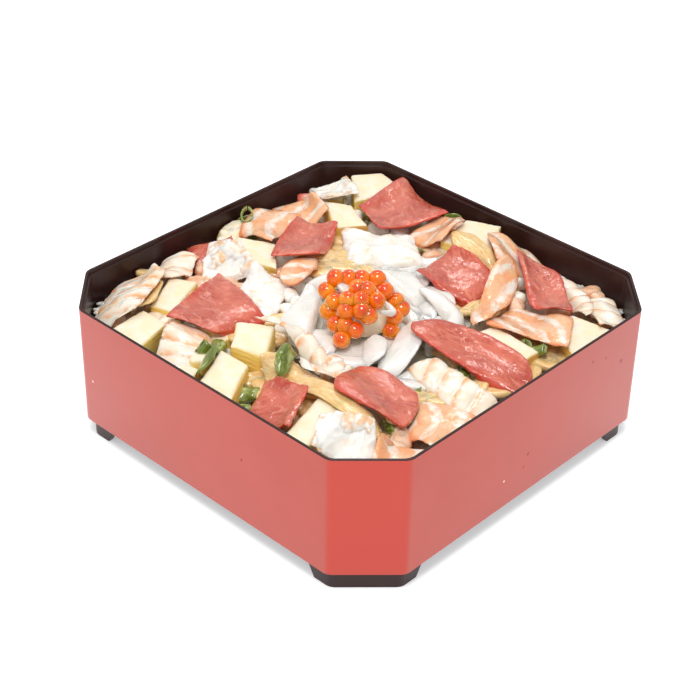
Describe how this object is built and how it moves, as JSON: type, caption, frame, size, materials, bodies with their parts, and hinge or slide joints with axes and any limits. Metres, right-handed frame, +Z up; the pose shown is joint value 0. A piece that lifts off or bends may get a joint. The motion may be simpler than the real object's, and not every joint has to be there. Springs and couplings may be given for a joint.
{
  "type": "takeaway sushi tray",
  "caption": "Square cut-cornered lacquered tray on low corner feet, filled with rice and scattered toppings of fish, shrimp, egg, squid, gourd and onion round a heap of salmon roe.",
  "frame": {"origin": "on the table, under the middle of the tray", "axes": "+Z up; the four long walls face -X, +X, -Y and +Y, and the picture looks from between -Y and +X"},
  "size_m": [0.165, 0.165, 0.07],
  "materials": {
    "lacquer": "glossy lacquered plastic, red outside, brown-black inside and on the rim and foot",
    "rice": "cooked rice",
    "tuna": "raw tuna, moist, with fine fibres",
    "salmon": "salmon and seared salmon, moist, with white stripes",
    "shrimp": "cooked shrimp, white with orange bands",
    "white": "white fish and chopped shrimp, moist",
    "egg": "rolled egg, fine pores, browned skin",
    "squid": "raw squid, smooth and translucent",
    "gourd": "simmered gourd strip, translucent tan",
    "onion": "cut spring onion and green leaf, wet",
    "roe": "salmon roe, translucent orange with darker hearts"
  },
  "bodies": {
    "root": {"box": "lacquer", "rice": "rice", "roe": "roe", "egg_1": "egg", "egg_2": "egg", "egg_3": "egg", "egg_4": "egg", "egg_5": "egg", "egg_6": "egg", "egg_7": "egg", "egg_8": "egg", "egg_9": "egg", "egg_10": "egg", "egg_11": "egg", "gourd_1": "gourd", "gourd_2": "gourd", "gourd_3": "gourd", "onion_1": "onion", "onion_2": "onion", "onion_3": "onion", "onion_4": "onion", "onion_5": "onion", "white_1": "white", "white_2": "white", "white_3": "white", "white_4": "white", "white_5": "white", "shrimp_1": "shrimp", "shrimp_2": "shrimp", "shrimp_3": "shrimp", "shrimp_4": "shrimp", "shrimp_5": "shrimp", "shrimp_6": "shrimp", "shrimp_7": "shrimp", "shrimp_8": "shrimp", "salmon_1": "salmon", "salmon_2": "salmon", "salmon_3": "salmon", "salmon_4": "salmon", "salmon_5": "salmon", "salmon_6": "salmon", "salmon_7": "salmon", "salmon_8": "salmon", "salmon_9": "salmon", "squid_1": "squid", "squid_2": "squid", "squid_3": "squid", "squid_4": "squid", "squid_5": "squid", "squid_6": "squid", "squid_7": "squid", "tuna_1": "tuna", "tuna_2": "tuna", "tuna_3": "tuna", "tuna_4": "tuna", "tuna_5": "tuna", "tuna_6": "tuna", "tuna_7": "tuna", "tuna_8": "tuna", "tuna_9": "tuna"}
  },
  "joints": []
}
